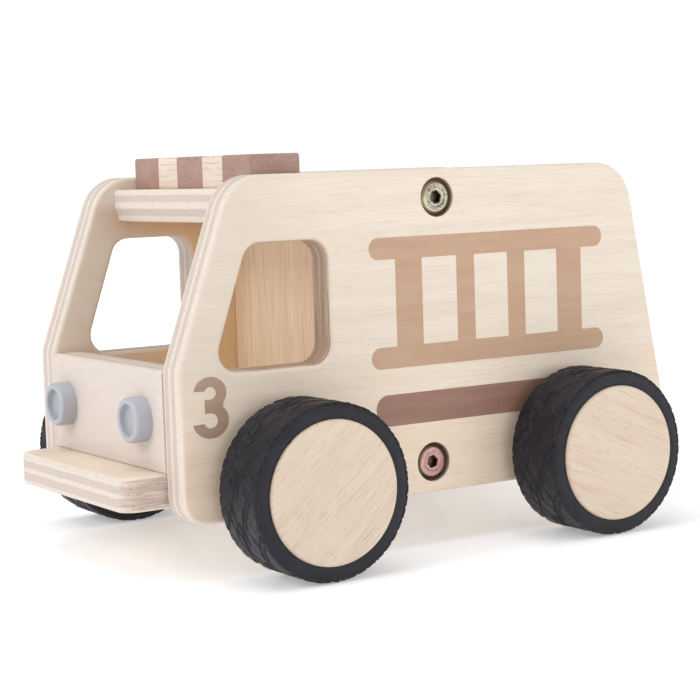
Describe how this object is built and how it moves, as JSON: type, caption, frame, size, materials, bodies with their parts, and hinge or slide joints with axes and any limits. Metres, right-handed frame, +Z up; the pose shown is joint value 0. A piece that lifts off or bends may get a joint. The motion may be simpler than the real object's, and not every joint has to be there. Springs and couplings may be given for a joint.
{
  "type": "toy fire engine",
  "caption": "Push-along toy fire engine of bolted plywood boards with an open cab, striped light bar and rubber-tyred wheelsets that roll.",
  "frame": {"origin": "bottom centre of the toy's bounding box, on the ground between the wheelsets", "axes": "+Z up, -Y towards the front of the toy, +X towards the toy's left side"},
  "size_m": [0.2146, 0.2824, 0.174],
  "materials": {
    "side_plywood": "fine sanded plywood, clear matt lacquer",
    "board_plywood": "fine sanded plywood, clear matt lacquer",
    "bulkhead_pine": "sanded pine with upright grain, clear matt lacquer",
    "light_bar_dark_wood": "brown-stained hardwood, satin",
    "light_bar_pale_wood": "pale laminated wood, satin",
    "headlight_grey_plastic": "smooth moulded, satin",
    "bolt_yellow_zinc": "zinc plated, yellow passivated",
    "bolt_rose_zinc": "zinc plated, rose and amber passivated",
    "bright_steel": "bright drawn steel",
    "dowel_beech": "plain turned beech",
    "white_nylon": "moulded nylon",
    "wheel_core_wood": "turned, unfinished",
    "wheel_disc_wood": "fine sanded, clear matt lacquer",
    "tyre_rubber": "moulded rubber, flat side wall and patterned tread"
  },
  "bodies": {
    "body": {"side_panel_left": "side_plywood", "side_panel_right": "side_plywood", "floor_board": "board_plywood", "roof_board": "board_plywood", "front_panel": "board_plywood", "cab_bulkhead": "bulkhead_pine", "light_bar_block_1": "light_bar_dark_wood", "light_bar_block_3": "light_bar_dark_wood", "light_bar_block_5": "light_bar_dark_wood", "light_bar_block_2": "light_bar_pale_wood", "light_bar_block_4": "light_bar_pale_wood", "headlight_cup_right": "headlight_grey_plastic", "headlight_cup_left": "headlight_grey_plastic", "connector_bolt_upper_left": "bolt_yellow_zinc", "connector_bolt_upper_right": "bolt_yellow_zinc", "connector_bolt_lower_left": "bolt_rose_zinc", "connector_bolt_lower_right": "bolt_rose_zinc", "barrel_nut_upper_left": "bright_steel", "barrel_nut_upper_right": "bright_steel", "barrel_nut_lower_left": "bright_steel", "barrel_nut_lower_right": "bright_steel", "dowel_roof_front_left": "dowel_beech", "dowel_roof_front_right": "dowel_beech", "dowel_roof_rear_left": "dowel_beech", "dowel_roof_rear_right": "dowel_beech", "dowel_floor_front_left": "dowel_beech", "dowel_floor_front_right": "dowel_beech", "dowel_floor_rear_left": "dowel_beech", "dowel_floor_rear_right": "dowel_beech", "dowel_front_panel_left": "dowel_beech", "dowel_front_panel_right": "dowel_beech", "dowel_bulkhead_left": "dowel_beech", "dowel_bulkhead_right": "dowel_beech", "axle_bush_front_left": "white_nylon", "axle_bush_front_right": "white_nylon", "axle_bush_rear_left": "white_nylon", "axle_bush_rear_right": "white_nylon"},
    "front_wheelset": {"axle_front": "bright_steel", "axle_spacer_front_left": "white_nylon", "axle_spacer_front_right": "white_nylon", "wheel_core_front_left": "wheel_core_wood", "wheel_core_front_right": "wheel_core_wood", "wheel_disc_front_left": "wheel_disc_wood", "wheel_disc_front_right": "wheel_disc_wood", "tyre_front_left": "tyre_rubber", "tyre_front_right": "tyre_rubber"},
    "rear_wheelset": {"axle_rear": "bright_steel", "axle_spacer_rear_left": "white_nylon", "axle_spacer_rear_right": "white_nylon", "wheel_core_rear_left": "wheel_core_wood", "wheel_core_rear_right": "wheel_core_wood", "wheel_disc_rear_left": "wheel_disc_wood", "wheel_disc_rear_right": "wheel_disc_wood", "tyre_rear_left": "tyre_rubber", "tyre_rear_right": "tyre_rubber"}
  },
  "joints": [
    {"name": "front_axle_spin", "type": "hinge", "parent": "body", "child": "front_wheelset", "pos_m": [0, -0.0718, 0.037], "axis": [1, 0, 0], "continuous": true},
    {"name": "rear_axle_spin", "type": "hinge", "parent": "body", "child": "rear_wheelset", "pos_m": [0, 0.0774, 0.037], "axis": [1, 0, 0], "continuous": true}
  ]
}
